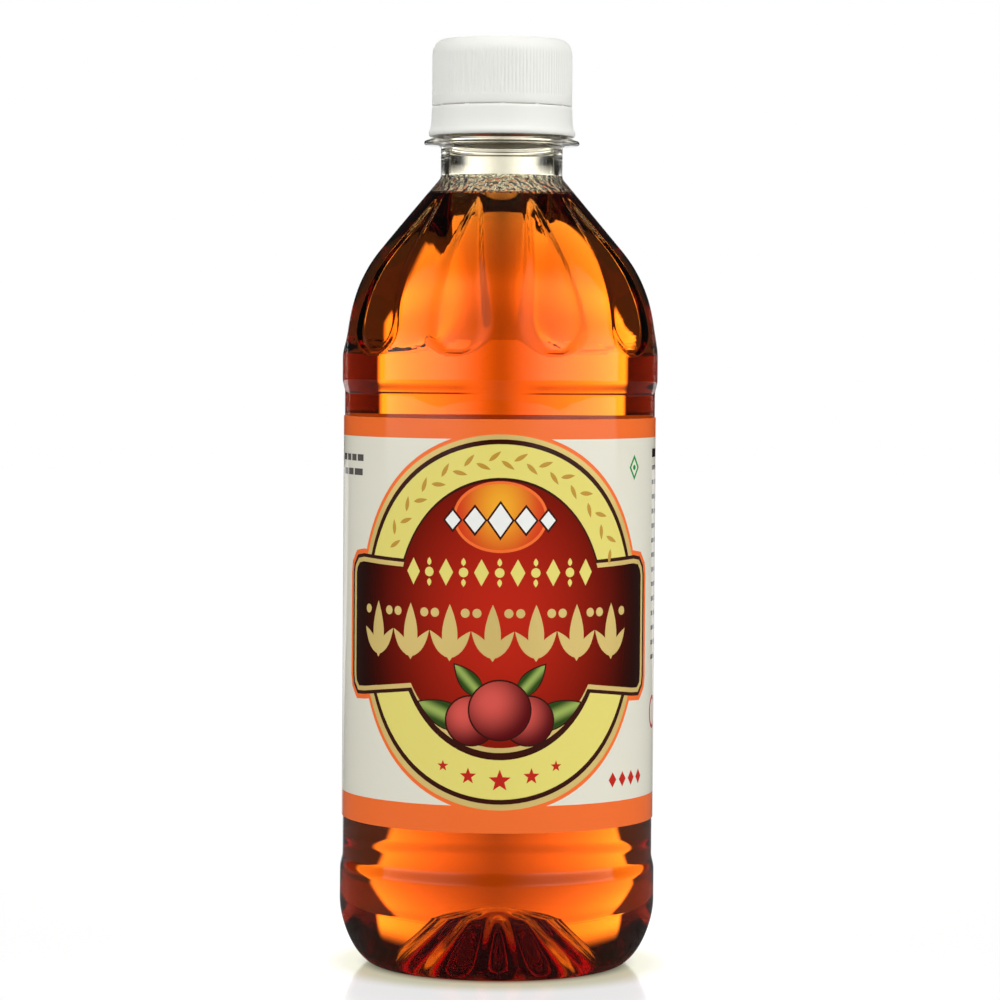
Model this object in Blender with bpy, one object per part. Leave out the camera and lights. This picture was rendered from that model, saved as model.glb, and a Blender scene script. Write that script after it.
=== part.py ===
"""Half-litre vinegar bottle of clear PET with a white screw cap.

The bottle stands on the XY plane with its axis on +Z, and its front faces -Y.
Sizes below are in millimetres; the meshes are in metres.
"""
import math

import bmesh
import bpy

MM = 0.001

# Whole bottle
TOP_Z = 197.7
GAP = 0.3
BODY_SIDES = 80
NECK_SIDES = 40

# Base: a ribbed dome pushed up inside a narrow ring that the bottle stands on
FOOT_IN_R = 24.4
FOOT_OUT_R = 25.8
DOME_H = 12.0
BASE_T = 1.0
BASE_RIBS = 10
BASE_RIB_H = 0.9

# Body, from the heel up to the shoulder
HEEL_Z = 14.0
BUMPER_R = 33.73
LOW_BUMPER_TOP = 21.6
PANEL_R = 33.2
PANEL_LOW_Z = 22.9
SEAT_R = 32.85
SEAT_LOW_Z = 31.6
SEAT_TOP_Z = 117.7
PANEL_TOP_Z = 123.1
TOP_BUMPER_LOW = 124.2
TOP_BUMPER_TOP = 129.5
BODY_T = 0.6

# Shoulder: a round turn into a straight cone below the neck
CONE_LOW = (25.9, 152.95)
CONE_TOP = (14.3, 166.7)
SHOULDER_STEPS = 7

# Teardrop flutes pressed into the shoulder
PETALS = 10
PETAL_PHASE = 2.0
PETAL_DEPTH = 0.85
PETAL_LOW_Z = 130.8
PETAL_TOP_Z = 163.2
PETAL_WIDE_Z = 137.0
PETAL_HALF = 13.8
PETAL_TIP_HALF = 4.5

# Neck, support ring and mouth
NECK_R = 13.0
NECK_T = 1.65
NECK_LOW_Z = 168.8
RING_R = 16.6
RING_LOW_Z = 175.1
RING_TOP_Z = 176.7
FINISH_R = 12.45
BORE_R = 11.35
MOUTH_Z = 196.0

# Cap and the tamper band left below it
CAP_R = 14.95
CAP_IN_R = 13.55
CAP_LOW_Z = 183.45
CAP_ROUND_Z = 194.2
CAP_TOP_FLAT_R = 12.5
CAP_TOP_T = 1.4
CAP_RIBS = 60
CAP_RIB_DEPTH = 0.22
COLLAR_TOP_Z = 185.0
BAND_LOW_Z = 177.05
BAND_TOP_Z = CAP_LOW_Z - GAP
BAND_SIDES = 40

# Wrap-round label
LABEL_LOW_Z = 31.9
LABEL_TOP_Z = 117.4
LABEL_R = 33.42
LABEL_T = 0.27

# Vinegar
LEVEL_Z = 164.6


def bezier(p0, p1, p2, p3, t):
    """Point of a cubic curve in the (radius, height) plane."""
    u = 1.0 - t
    w = (u ** 3, 3 * u * u * t, 3 * u * t * t, t ** 3)
    return tuple(sum(k * p[i] for k, p in zip(w, (p0, p1, p2, p3))) for i in (0, 1))


def heel(t):
    """Round heel, from the foot (t = 0) up to the lower bumper (t = 1)."""
    return bezier((FOOT_OUT_R, 0.0), (30.0, 0.0), (BUMPER_R, 8.2), (BUMPER_R, HEEL_Z), t)


def shoulder(t):
    """Round shoulder, from the upper bumper (t = 0) up to the cone (t = 1)."""
    return bezier((BUMPER_R, TOP_BUMPER_TOP), (BUMPER_R, 139.0), (31.5, 146.3), CONE_LOW, t)


def smooth(x):
    """Smooth step from 0 to 1."""
    x = min(max(x, 0.0), 1.0)
    return x * x * (3.0 - 2.0 * x)


def petal_half_angle(z):
    """Half the angle, in degrees, that a flute spans at a height."""
    if z <= PETAL_LOW_Z or z >= PETAL_TOP_Z:
        return 0.0
    if z < PETAL_WIDE_Z:
        x = (PETAL_WIDE_Z - z) / (PETAL_WIDE_Z - PETAL_LOW_Z)
        return PETAL_HALF * math.sqrt(1.0 - x * x)
    x = (z - PETAL_WIDE_Z) / (PETAL_TOP_Z - PETAL_WIDE_Z)
    taper = PETAL_HALF + (PETAL_TIP_HALF - PETAL_HALF) * x ** 1.3
    return taper * math.sqrt(1.0 - x ** 8)


def petal_depth(z, angle):
    """Depth of the flutes at a height and an angle in radians."""
    half = petal_half_angle(z)
    if half <= 0.0:
        return 0.0
    pitch = 360.0 / PETALS
    off = (math.degrees(angle) + 90.0 - PETAL_PHASE - pitch / 2) % pitch - pitch / 2
    return PETAL_DEPTH * smooth((half - abs(off)) / (0.45 * half)) * smooth(half / 6.0)


def base_rib(r, angle):
    """Height of the radial flutes pressed up into the dome."""
    fade = smooth((r - 4.0) / 5.0) * smooth((FOOT_IN_R - r) / 3.0)
    turn = angle + math.pi / 2 - math.radians(PETAL_PHASE)
    return BASE_RIB_H * fade * (0.5 + 0.5 * math.cos(BASE_RIBS * turn))


def dome(r):
    """Height of the dome's underside at a radius."""
    return DOME_H * (1.0 - smooth(r / FOOT_IN_R)) ** 0.8


def wall(z):
    """Wall thickness at a height of the shoulder: thin body, thick neck."""
    return BODY_T + (NECK_T - BODY_T) * smooth((z - 148.0) / (NECK_LOW_Z - 148.0))


class Skin:
    """A closed surface stitched from rings of points, bottom to top or round a wall."""

    def __init__(self):
        self.bm = bmesh.new()
        self.last = None

    def ring(self, sides, radius, height):
        """Adds a ring and joins it to the last one. Radius and height are numbers or functions of the angle."""
        row = []
        for i in range(sides):
            a = 2 * math.pi * i / sides - math.pi / 2 + math.radians(PETAL_PHASE)
            r = radius(a) if callable(radius) else radius
            z = height(a) if callable(height) else height
            row.append(self.bm.verts.new((r * math.cos(a) * MM, r * math.sin(a) * MM, z * MM)))
        if self.last is not None:
            self.join(self.last, row)
        self.last = row

    def join(self, a, b):
        """Fills the strip between two rings, whose counts are equal or a whole multiple."""
        if len(a) < len(b):
            many, few, flip = b, a, True
        else:
            many, few, flip = a, b, False
        step, n, m = len(many) // len(few), len(many), len(few)
        for j in range(m):
            k = (j + 1) % m
            half = step // 2
            for s in range(step):
                p, q = many[j * step + s], many[(j * step + s + 1) % n]
                if step == 1:
                    face = (p, q, few[k], few[j])
                else:
                    face = (p, q, few[j] if s < half else few[k])
                self.bm.faces.new(face[::-1] if flip else face)
            if step > 1:
                face = (many[j * step + half], few[k], few[j])
                self.bm.faces.new(face[::-1] if flip else face)

    def pole(self, height, closing=False):
        """Starts or closes the surface with a point on the axis."""
        tip = self.bm.verts.new((0.0, 0.0, height * MM))
        row, n = self.last, len(self.last)
        for i in range(n):
            face = (row[i], row[(i + 1) % n], tip)
            self.bm.faces.new(face if closing else face[::-1])

    def finish(self, name, material, sharp=35.0):
        """Turns the surface into a named object with its own material."""
        bmesh.ops.recalc_face_normals(self.bm, faces=self.bm.faces)
        mesh = bpy.data.meshes.new(name)
        self.bm.to_mesh(mesh)
        self.bm.free()
        mesh.materials.append(material)
        mesh.shade_smooth()
        mesh.set_sharp_from_angle(angle=math.radians(sharp))
        obj = bpy.data.objects.new(name, mesh)
        bpy.context.scene.collection.objects.link(obj)
        return obj


def material(name, colour, roughness, transmission=0.0, ior=1.5):
    """Principled material with the piece's colour and gloss."""
    mat = bpy.data.materials.new(name)
    mat.use_nodes = True
    bsdf = mat.node_tree.nodes["Principled BSDF"]
    bsdf.inputs["Base Color"].default_value = (*colour, 1.0)
    bsdf.inputs["Roughness"].default_value = roughness
    bsdf.inputs["Metallic"].default_value = 0.0
    bsdf.inputs["Transmission Weight"].default_value = transmission
    bsdf.inputs["IOR"].default_value = ior
    mat.diffuse_color = (*colour, 1.0)
    return mat


def shoulder_stations():
    """Heights and radii of the shoulder's rings, upper bumper to cone top."""
    rows = [shoulder(i / SHOULDER_STEPS) for i in range(SHOULDER_STEPS + 1)]
    (r0, z0), (r1, z1) = CONE_LOW, CONE_TOP
    for t in (0.33, 0.66, 1.0):
        rows.append((r0 + (r1 - r0) * t, z0 + (z1 - z0) * t))
    return rows


def inset(rows, extra=0.0):
    """Moves shoulder stations in by the wall and an extra gap, square to the slope."""
    out = []
    for i, (r, z) in enumerate(rows):
        a, b = rows[max(i - 1, 0)], rows[min(i + 1, len(rows) - 1)]
        dr, dz = b[0] - a[0], b[1] - a[1]
        size = math.hypot(dr, dz)
        t = wall(z) + extra
        out.append((r - t * dz / size, z + t * dr / size, z))
    return out


def fluted(r, z):
    """Radius of a ring less the flutes' depth at its height."""
    return lambda a: r - petal_depth(z, a)


def build_bottle():
    """Blown bottle, from the dome's underside up the outside and down the inside."""
    skin = Skin()
    for i, r in enumerate((4.0, 8.8, 13.2, 17.6, 21.6)):
        skin.ring(NECK_SIDES, r, lambda a, r=r: dome(r) + base_rib(r, a))
        if i == 0:
            skin.pole(DOME_H)
    skin.ring(NECK_SIDES, FOOT_IN_R, 0.0)
    skin.ring(NECK_SIDES, FOOT_OUT_R, 0.0)
    for t in (0.2, 0.4, 0.6, 0.8, 1.0):
        r, z = heel(t)
        skin.ring(BODY_SIDES, r, z)
    for r, z in (
        (BUMPER_R, LOW_BUMPER_TOP), (PANEL_R, PANEL_LOW_Z), (PANEL_R, SEAT_LOW_Z - 0.1),
        (SEAT_R, SEAT_LOW_Z), (SEAT_R, SEAT_TOP_Z), (PANEL_R, SEAT_TOP_Z + 0.1),
        (PANEL_R, PANEL_TOP_Z), (BUMPER_R, TOP_BUMPER_LOW),
    ):
        skin.ring(BODY_SIDES, r, z)
    stations = shoulder_stations()
    for r, z in stations:
        skin.ring(BODY_SIDES, fluted(r, z), z)
    for r, z in (
        (NECK_R + 0.25, NECK_LOW_Z - 1.0), (NECK_R, NECK_LOW_Z), (NECK_R, RING_LOW_Z - 0.6),
        (NECK_R + 0.6, RING_LOW_Z), (RING_R - 0.25, RING_LOW_Z + 0.05), (RING_R, RING_LOW_Z + 0.35),
        (RING_R - 0.1, RING_LOW_Z + 0.85), (RING_R - 2.0, RING_TOP_Z), (FINISH_R, RING_TOP_Z),
        (FINISH_R, MOUTH_Z - 0.4), (FINISH_R - 0.3, MOUTH_Z), (BORE_R + 0.3, MOUTH_Z),
        (BORE_R, MOUTH_Z - 0.4), (BORE_R, NECK_LOW_Z),
    ):
        skin.ring(NECK_SIDES, r, z)
    for r, z, level in reversed(inset(stations)):
        skin.ring(BODY_SIDES, fluted(r, level), z)
    body_in, seat_in = BUMPER_R - BODY_T, SEAT_R - BODY_T
    for r, z in (
        (body_in, TOP_BUMPER_LOW + 0.2), (seat_in, PANEL_TOP_Z - 0.4),
        (seat_in, PANEL_LOW_Z + 0.4), (body_in, LOW_BUMPER_TOP - 0.2),
    ):
        skin.ring(BODY_SIDES, r, z)
    for t in (1.0, 0.7, 0.45, 0.2):
        r, z = heel(t)
        skin.ring(BODY_SIDES, r - BODY_T - 0.3 * (1 - t), z + BASE_T * (1 - t) ** 0.5)
    skin.ring(NECK_SIDES, FOOT_OUT_R - 0.6, BASE_T)
    skin.ring(NECK_SIDES, FOOT_IN_R - 0.3, BASE_T + 0.1)
    for r in (21.4, 17.6, 13.2, 8.8, 4.0):
        skin.ring(NECK_SIDES, r, lambda a, r=r: dome(r + 0.5) + BASE_T + 0.2 + base_rib(r, a))
    skin.pole(DOME_H + BASE_T, closing=True)
    return skin.finish("bottle", material("clear PET", (0.90, 0.93, 0.90), 0.05, 1.0, 1.57))


def build_vinegar():
    """Vinegar inside the bottle, up to its level in the cone."""
    skin = Skin()
    lift = BASE_T + GAP + 0.25
    for i, r in enumerate((4.0, 8.8, 13.2, 17.6, 21.4)):
        skin.ring(NECK_SIDES, r, lambda a, r=r: dome(r) + lift + 0.2 + base_rib(r, a))
        if i == 0:
            skin.pole(DOME_H + lift)
    skin.ring(NECK_SIDES, FOOT_IN_R - 0.2, BASE_T + GAP + 0.15)
    for t in (0.2, 0.45, 0.7, 1.0):
        r, z = heel(t)
        skin.ring(NECK_SIDES, r - BODY_T - GAP - 0.55 * (1 - t), z + (BASE_T + GAP) * (1 - t) ** 0.5)
    body, seat = BUMPER_R - BODY_T - GAP, SEAT_R - BODY_T - GAP
    for r, z in (
        (body, LOW_BUMPER_TOP - 0.5), (seat, PANEL_LOW_Z + 0.3),
        (seat, PANEL_TOP_Z - 0.3), (body, TOP_BUMPER_LOW + 0.5),
    ):
        skin.ring(NECK_SIDES, r, z)
    stations = inset(shoulder_stations(), GAP)
    top = None
    for r, z, level in stations:
        if z < LEVEL_Z - 0.5:
            skin.ring(NECK_SIDES, fluted(r - 0.05, level), z)
            top = (r - 0.05, z, level)
        else:
            t = (LEVEL_Z - top[1]) / (z - top[1])
            skin.ring(NECK_SIDES, top[0] + (r - top[0]) * t - 0.05, LEVEL_Z)
            break
    skin.pole(LEVEL_Z, closing=True)
    return skin.finish("vinegar", material("amber vinegar", (0.62, 0.17, 0.02), 0.02, 0.9, 1.34))


def build_cap():
    """Screw cap: knurled skirt, plain collar at its foot, rounded top edge."""
    skin = Skin()
    sides = 2 * CAP_RIBS

    def knurl(a):
        turn = (a + math.pi / 2 - math.radians(PETAL_PHASE)) / (2 * math.pi)
        tooth = round(turn * sides) % 2
        return CAP_R - CAP_RIB_DEPTH * tooth

    inner_top = TOP_Z - CAP_TOP_T
    skin.ring(NECK_SIDES, CAP_IN_R, inner_top)
    skin.pole(inner_top)
    skin.ring(NECK_SIDES, CAP_IN_R, CAP_LOW_Z)
    skin.ring(sides, CAP_R - 0.05, CAP_LOW_Z)
    skin.ring(sides, CAP_R, COLLAR_TOP_Z)
    skin.ring(sides, knurl, COLLAR_TOP_Z + 0.3)
    skin.ring(sides, knurl, CAP_ROUND_Z)
    drop, reach = TOP_Z - CAP_ROUND_Z, CAP_R - CAP_TOP_FLAT_R
    for deg in (25, 48, 70):
        a = math.radians(deg)
        r = CAP_TOP_FLAT_R + reach * math.cos(a)
        skin.ring(sides // 2, r, CAP_ROUND_Z + drop * math.sin(a))
    skin.ring(sides // 2, CAP_TOP_FLAT_R, TOP_Z)
    skin.pole(TOP_Z, closing=True)
    return skin.finish("cap", material("white polypropylene", (0.86, 0.86, 0.83), 0.35), 25.0)


def build_band():
    """Tamper band: a separate ring that flares over the support ring."""
    skin = Skin()
    rows = [
        (13.65, BAND_TOP_Z), (14.93, BAND_TOP_Z), (15.0, 182.3), (15.1, 180.6), (15.25, 178.9),
        (15.6, 178.1), (15.65, 177.4), (15.4, BAND_LOW_Z), (14.1, BAND_LOW_Z), (13.65, 178.4),
    ]
    for r, z in rows:
        skin.ring(BAND_SIDES, r, z)
    first = [v for v in skin.bm.verts][:BAND_SIDES]
    skin.join(skin.last, first)
    return skin.finish("tamper_band", material("white band", (0.84, 0.84, 0.81), 0.4))


def build_label():
    """Film label wrapped round the body between the bumpers."""
    skin = Skin()
    inner = LABEL_R - LABEL_T
    rows = [(inner, LABEL_LOW_Z), (inner, LABEL_TOP_Z), (LABEL_R, LABEL_TOP_Z), (LABEL_R, LABEL_LOW_Z)]
    for r, z in rows:
        skin.ring(BODY_SIDES, r, z)
    first = [v for v in skin.bm.verts][:BODY_SIDES]
    skin.join(skin.last, first)
    return skin.finish("label", material("printed film", (0.86, 0.82, 0.72), 0.3))


for old in list(bpy.data.objects):
    bpy.data.objects.remove(old, do_unlink=True)

build_bottle()
build_vinegar()
build_cap()
build_band()
build_label()
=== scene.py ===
"""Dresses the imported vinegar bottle: blown PET, amber vinegar, white closure and printed film.

Sizes are in millimetres unless a name says otherwise, and meshes are in metres. The bottle's
axis is +Z and its front faces -Y. On the flat label, s is the arc length to the right of the
front's middle and z is the height.
"""
from __future__ import annotations

import logging
import math
from dataclasses import dataclass, field
from enum import Enum
from typing import Sequence, Union

import bpy
import numpy as np
from mathutils import Matrix, Vector
from mathutils.geometry import delaunay_2d_cdt


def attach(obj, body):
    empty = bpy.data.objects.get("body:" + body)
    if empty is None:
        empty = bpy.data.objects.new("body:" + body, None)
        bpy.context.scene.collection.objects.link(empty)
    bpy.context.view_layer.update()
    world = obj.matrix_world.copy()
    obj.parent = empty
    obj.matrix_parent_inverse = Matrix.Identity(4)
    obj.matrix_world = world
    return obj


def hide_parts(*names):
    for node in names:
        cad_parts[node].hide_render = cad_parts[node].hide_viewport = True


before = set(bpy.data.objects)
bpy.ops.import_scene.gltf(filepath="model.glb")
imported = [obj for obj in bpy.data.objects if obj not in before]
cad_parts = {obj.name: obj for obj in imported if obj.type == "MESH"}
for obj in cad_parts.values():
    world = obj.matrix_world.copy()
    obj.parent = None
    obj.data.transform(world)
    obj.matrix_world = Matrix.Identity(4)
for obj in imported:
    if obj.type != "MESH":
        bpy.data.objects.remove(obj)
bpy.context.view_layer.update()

MM = 0.001
PER_M = 1000.0  # millimetres in a metre
FRONT = -90.0  # angle of the bottle's front round +Z, in degrees
DEGREES = 180.0 / math.pi  # degrees in a radian
ON_AXIS = 1e-6  # points nearer to the axis than this, in metres, count as on it
SNAP = 1e-3  # flat points of the label nearer than this, in millimetres, are one
LOG = logging.getLogger("vinegar bottle")
Row = tuple[float, float]
Number = Union[float, "Field"]


def linear(code: str) -> tuple[float, float, float, float]:
    """Turns an sRGB hex colour into linear light.

    Args:
        code: six hex digits, such as "F2A03C".

    Returns:
        Red, green, blue and alpha.
    """
    parts = [int(code[i:i + 2], 16) / 255.0 for i in (0, 2, 4)]
    lit = [c / 12.92 if c <= 0.04045 else ((c + 0.055) / 1.055) ** 2.4 for c in parts]
    return (lit[0], lit[1], lit[2], 1.0)


def smooth(x: float) -> float:
    """Smooth step from 0 to 1."""
    x = min(max(x, 0.0), 1.0)
    return x * x * (3.0 - 2.0 * x)


def bezier(p0: Row, p1: Row, p2: Row, p3: Row, t: float) -> Row:
    """Finds a point of a cubic curve.

    Args:
        p0: the first end.
        p1: the first handle.
        p2: the second handle.
        p3: the second end.
        t: place along the curve, 0 to 1.

    Returns:
        The point, as radius and height.
    """
    u = 1.0 - t
    w = (u ** 3, 3 * u * u * t, 3 * u * t * t, t ** 3)
    return (sum(k * p[0] for k, p in zip(w, (p0, p1, p2, p3))),
            sum(k * p[1] for k, p in zip(w, (p0, p1, p2, p3))))


def add(tree: bpy.types.NodeTree, kind: str, settings: dict | None = None,
        inputs: dict | None = None) -> bpy.types.Node:
    """Adds a node with its settings, values and links.

    Args:
        tree: the node tree that takes the node.
        kind: the node's type name.
        settings: the node's own properties.
        inputs: values, sockets or fields by input name or number.

    Returns:
        The new node.
    """
    node = tree.nodes.new(kind)
    for key, value in (settings or {}).items():
        setattr(node, key, value)
    for key, value in (inputs or {}).items():
        if isinstance(value, Field):
            value = value.out
        if isinstance(value, bpy.types.NodeSocket):
            tree.links.new(value, node.inputs[key])
        else:
            node.inputs[key].default_value = value
    return node


@dataclass(frozen=True)
class Field:
    """A number that varies over a surface or a direction, worked out by Math nodes."""

    tree: bpy.types.NodeTree
    out: bpy.types.NodeSocket

    def math(self, operation: str, *others: Number) -> Field:
        """Adds one Math node.

        Args:
            operation: the node's operation.
            others: its further inputs.

        Returns:
            The node's result.
        """
        inputs = dict(enumerate((self, *others)))
        node = add(self.tree, "ShaderNodeMath", {"operation": operation}, inputs)
        return Field(self.tree, node.outputs[0])

    def __add__(self, other: Number) -> Field:
        """Sum."""
        return self.math("ADD", other)

    def __sub__(self, other: Number) -> Field:
        """Difference."""
        return self.math("SUBTRACT", other)

    def __mul__(self, other: Number) -> Field:
        """Product."""
        return self.math("MULTIPLY", other)

    def __truediv__(self, other: Number) -> Field:
        """Quotient."""
        return self.math("DIVIDE", other)

    def __pow__(self, other: Number) -> Field:
        """Power."""
        return self.math("POWER", other)

    def less(self, share: float, where: Field) -> Field:
        """Takes a share of the field away where another one is 1."""
        return self * (where * -share + 1.0)

    def cosine(self) -> Field:
        """Cosine of an angle in degrees."""
        return (self * math.radians(1.0)).math("COSINE")

    def step(self, low: Number, high: Number) -> Field:
        """Adds a smooth step.

        Args:
            low: the value at which the step starts.
            high: the value at which it ends, below low for a falling step.

        Returns:
            0 before the step and 1 after it.
        """
        node = add(self.tree, "ShaderNodeMapRange", {"interpolation_type": "SMOOTHSTEP"},
                   {"Value": self, "From Min": low, "From Max": high})
        return Field(self.tree, node.outputs[0])


def fields(tree: bpy.types.NodeTree, vector: bpy.types.NodeSocket) -> tuple[Field, Field, Field]:
    """Splits a vector socket into three fields.

    Args:
        tree: the node tree.
        vector: the socket to split.

    Returns:
        Its x, y and z.
    """
    node = add(tree, "ShaderNodeSeparateXYZ", None, {0: vector})
    return tuple(Field(tree, node.outputs[i]) for i in range(3))


def away(x: Field, y: Field) -> Field:
    """Gives the distance from the axis."""
    return (x * x + y * y).math("SQRT")


def rays(tree: bpy.types.NodeTree) -> tuple[Field, Field, Field]:
    """Tells light's ways apart, since clear walls and mirrors see a studio differently.

    Args:
        tree: the node tree of the world or the floor.

    Returns:
        1 for what the eye sees straight, for what comes through a wall, and for what a wall
        mirrors.
    """
    path = add(tree, "ShaderNodeLightPath").outputs
    through = Field(tree, path["Is Transmission Ray"])
    mirrored = Field(tree, path["Is Glossy Ray"]).less(1.0, through)
    return Field(tree, path["Is Camera Ray"]), through, mirrored


def turned(rows: Sequence[Row], sides: int, looped: bool = False,
           start: float = FRONT) -> bpy.types.Mesh:
    """Turns a profile round the axis into a closed skin of quads.

    Args:
        rows: radius and height of each ring; a radius of 0 is a pole.
        sides: points in a ring.
        looped: True where the last ring joins the first, as in a plain band.
        start: angle of each ring's first point, in degrees.

    Returns:
        The mesh, faces outwards where the profile runs up the outside.
    """
    points: list[tuple[float, float, float]] = []
    rings: list[list[int]] = []
    turn = np.radians(start) + np.arange(sides) * 2.0 * np.pi / sides
    for r, z in rows:
        if r <= 0.0:
            rings.append([len(points)] * sides)
            points.append((0.0, 0.0, z * MM))
            continue
        rings.append(list(range(len(points), len(points) + sides)))
        points.extend(zip(r * MM * np.cos(turn), r * MM * np.sin(turn), [z * MM] * sides))
    faces: list[tuple[int, ...]] = []
    pairs = list(zip(rings, rings[1:])) + ([(rings[-1], rings[0])] if looped else [])
    for low, high in pairs:
        for i in range(sides):
            j = (i + 1) % sides
            faces.append(tuple(dict.fromkeys((low[i], low[j], high[j], high[i]))))
    mesh = bpy.data.meshes.new("skin")
    mesh.from_pydata(points, [], faces)
    mesh.update()
    return mesh


def place(name: str, mesh: bpy.types.Mesh, finish: bpy.types.Material,
          sharp: float = 40.0) -> bpy.types.Object:
    """Puts a mesh into the scene as a named piece.

    Args:
        name: the piece's name.
        mesh: its mesh, already where it belongs.
        finish: its material.
        sharp: creases steeper than this many degrees stay hard.

    Returns:
        The new object, at the origin.
    """
    mesh.materials.clear()
    mesh.materials.append(finish)
    mesh.shade_smooth()
    mesh.set_sharp_from_angle(angle=math.radians(sharp))
    piece = bpy.data.objects.new(name, mesh)
    bpy.context.scene.collection.objects.link(piece)
    return piece


def hand_over(piece: bpy.types.Object, node: str) -> None:
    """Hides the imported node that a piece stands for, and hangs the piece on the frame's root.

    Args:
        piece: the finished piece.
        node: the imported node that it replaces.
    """
    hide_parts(node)
    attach(piece, "root")
    LOG.info("%s: %d faces for node %s", piece.name, len(piece.data.polygons), node)


class Rule:
    """A Geometry Nodes tree with named inputs, which shapes a piece by a rule."""

    def __init__(self, name: str, inputs: dict[str, float], finish: bpy.types.Material) -> None:
        """Starts the tree.

        Args:
            name: the tree's name.
            inputs: its sizes and their values by name.
            finish: the material that the result gets.
        """
        self.tree = bpy.data.node_groups.new(name, "GeometryNodeTree")
        self.tree.is_modifier = True
        self.values = inputs
        self.finish = finish
        face = self.tree.interface
        face.new_socket("Skin", in_out="INPUT", socket_type="NodeSocketGeometry")
        self.keys: dict[str, str] = {}
        for key, value in inputs.items():
            kind = "NodeSocketInt" if isinstance(value, int) else "NodeSocketFloat"
            self.keys[key] = face.new_socket(key, in_out="INPUT", socket_type=kind).identifier
        face.new_socket("Skin", in_out="OUTPUT", socket_type="NodeSocketGeometry")
        self.start = add(self.tree, "NodeGroupInput")
        self.skin = self.start.outputs["Skin"]

    def value(self, key: str) -> Field:
        """Gives a named input as a field."""
        return Field(self.tree, self.start.outputs[key])

    def place_of_points(self) -> tuple[Field, Field, Field]:
        """Gives each point's x, y and z in metres."""
        return fields(self.tree, add(self.tree, "GeometryNodeInputPosition").outputs[0])

    def angle(self, x: Field, y: Field) -> Field:
        """Gives the angle round the axis in degrees, 0 at the front."""
        return y.math("ARCTAN2", x) * DEGREES - FRONT

    def push(self, x: Number, y: Number, z: Number) -> None:
        """Moves each point by three fields in metres.

        Args:
            x: the move along X.
            y: the move along Y.
            z: the move along Z.
        """
        move = add(self.tree, "ShaderNodeCombineXYZ", None, {0: x, 1: y, 2: z})
        node = add(self.tree, "GeometryNodeSetPosition", None,
                   {"Geometry": self.skin, "Offset": move.outputs[0]})
        self.skin = node.outputs[0]

    def push_out(self, x: Field, y: Field, by: Field) -> None:
        """Moves each point straight away from the axis.

        Args:
            x: the point's x.
            y: its y.
            by: how far, in metres.
        """
        across = away(x, y).math("MAXIMUM", ON_AXIS)
        self.push(x / across * by, y / across * by, 0.0)

    def apply(self, piece: bpy.types.Object) -> None:
        """Ends the tree, runs it on a piece and leaves the piece a plain mesh.

        Args:
            piece: the piece to shape.
        """
        if not any(node.bl_idname == "NodeGroupOutput" for node in self.tree.nodes):
            real = add(self.tree, "GeometryNodeRealizeInstances", None, {0: self.skin})
            dressed = add(self.tree, "GeometryNodeSetMaterial", None,
                          {"Geometry": real.outputs[0], "Material": self.finish})
            add(self.tree, "NodeGroupOutput", None, {0: dressed.outputs[0]})
        modifier = piece.modifiers.new("rule", "NODES")
        modifier.node_group = self.tree
        for key, value in self.values.items():
            modifier[self.keys[key]] = value
        graph = bpy.context.evaluated_depsgraph_get()
        shaped = bpy.data.meshes.new_from_object(piece.evaluated_get(graph))
        piece.modifiers.remove(modifier)
        old, piece.data = piece.data, shaped
        bpy.data.meshes.remove(old)


@dataclass(frozen=True)
class Finish:
    """A real material: what it is made of, and how light meets its surface."""

    name: str
    colour: str = "FFFFFF"
    roughness: float = 0.3
    ior: float = 1.5
    metallic: float = 0.0

    def start(self) -> tuple[bpy.types.Material, bpy.types.NodeTree, bpy.types.Node]:
        """Makes the material with its uniform values set.

        Returns:
            The material, its tree and its Principled node.
        """
        material = bpy.data.materials.new(self.name)
        material.use_nodes = True
        tree = material.node_tree
        shader = tree.nodes["Principled BSDF"]
        shader.inputs["Base Color"].default_value = linear(self.colour)
        shader.inputs["Roughness"].default_value = self.roughness
        shader.inputs["IOR"].default_value = self.ior
        shader.inputs["Metallic"].default_value = self.metallic
        material.diffuse_color = linear(self.colour)
        return material, tree, shader

    def noise(self, tree: bpy.types.NodeTree, size: float, detail: float = 2.0) -> Field:
        """Adds a cloudy pattern on the piece's own coordinates.

        Args:
            tree: the material's tree.
            size: the width of its clouds in millimetres.
            detail: how many finer layers it has.

        Returns:
            The pattern, about 0.5 on average.
        """
        where = add(tree, "ShaderNodeTexCoord").outputs["Object"]
        node = add(tree, "ShaderNodeTexNoise", None,
                   {"Vector": where, "Scale": PER_M / size, "Detail": detail})
        return Field(tree, node.outputs["Fac"])

    def dent(self, tree: bpy.types.NodeTree, shader: bpy.types.Node, height: Field,
             depth: float) -> None:
        """Gives the surface fine relief.

        Args:
            tree: the material's tree.
            shader: the Principled node.
            height: the relief, 0 to 1.
            depth: the height of 1, in millimetres.
        """
        bump = add(tree, "ShaderNodeBump", None,
                   {"Height": height, "Distance": depth * MM, "Strength": 1.0})
        tree.links.new(bump.outputs["Normal"], shader.inputs["Normal"])


@dataclass(frozen=True)
class BlownPet(Finish):
    """Stretch-blown clear PET: glass-clear, with the faint ripple of a blown wall.

    gleam is the share of mirrored light that the surface keeps.
    """

    name: str = "blown clear PET"
    colour: str = "F6F8F1"
    roughness: float = 0.0
    ior: float = 1.57
    ripple: float = 9.0
    ripple_depth: float = 0.012
    gleam: float = 1.0

    def make(self) -> bpy.types.Material:
        """Builds the material.

        Returns:
            The material, with its ripple as fine relief.
        """
        material, tree, shader = self.start()
        shader.inputs["Transmission Weight"].default_value = 1.0
        shader.inputs["Specular Tint"].default_value = (self.gleam,) * 3 + (1.0,)
        self.dent(tree, shader, self.noise(tree, self.ripple, 1.0), self.ripple_depth)
        return material


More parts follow.
